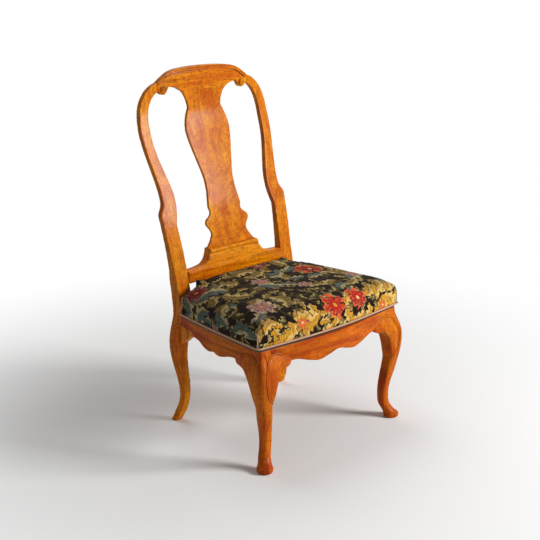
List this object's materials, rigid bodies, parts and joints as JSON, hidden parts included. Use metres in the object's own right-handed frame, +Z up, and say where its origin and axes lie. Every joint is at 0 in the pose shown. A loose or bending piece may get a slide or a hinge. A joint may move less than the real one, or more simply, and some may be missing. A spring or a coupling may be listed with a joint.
{
  "type": "spoon back chair",
  "caption": "Side chair with a spoon-curved back, a shaped splat, cabriole front legs on pad feet and a loose upholstered seat in floral tapestry.",
  "frame": {"origin": "on the floor, in the middle of the outline", "axes": "+Z up, the sitter looks along -Y and their left hand is at +X"},
  "size_m": [0.5792, 0.5768, 1.0297],
  "materials": {
    "polished_walnut": "glossy shellac polish",
    "plain_beech": "bare, planed",
    "webbing": "woven jute",
    "hessian": "plain woven jute",
    "stuffing": "curled hair",
    "tapestry": "woven floral tapestry",
    "piping": "cloth over cord"
  },
  "bodies": {
    "frame": {"front_leg_left": "polished_walnut", "front_leg_right": "polished_walnut", "rear_post_left": "polished_walnut", "rear_post_right": "polished_walnut", "side_rail_left": "polished_walnut", "side_rail_right": "polished_walnut", "front_knee_block_left": "polished_walnut", "front_knee_block_right": "polished_walnut", "side_knee_block_left": "polished_walnut", "side_knee_block_right": "polished_walnut", "rear_knee_block_left": "polished_walnut", "rear_knee_block_right": "polished_walnut", "front_rail": "polished_walnut", "rear_rail": "polished_walnut", "shoe_rail": "polished_walnut", "splat": "polished_walnut", "crest_rail": "polished_walnut", "front_corner_block_left": "plain_beech", "front_corner_block_right": "plain_beech", "rear_corner_block_left": "plain_beech", "rear_corner_block_right": "plain_beech"},
    "seat": {"seat_frame_front": "plain_beech", "seat_frame_left": "plain_beech", "seat_frame_right": "plain_beech", "seat_frame_rear": "plain_beech", "webbing_lengthwise": "webbing", "webbing_crosswise": "webbing", "hessian": "hessian", "seat_stuffing": "stuffing", "tapestry_cover": "tapestry", "seat_piping": "piping"}
  },
  "joints": [
    {"name": "seat_lift", "type": "slide", "parent": "frame", "child": "seat", "axis": [0, 0, 1], "range_m": [0, 0.15]}
  ]
}
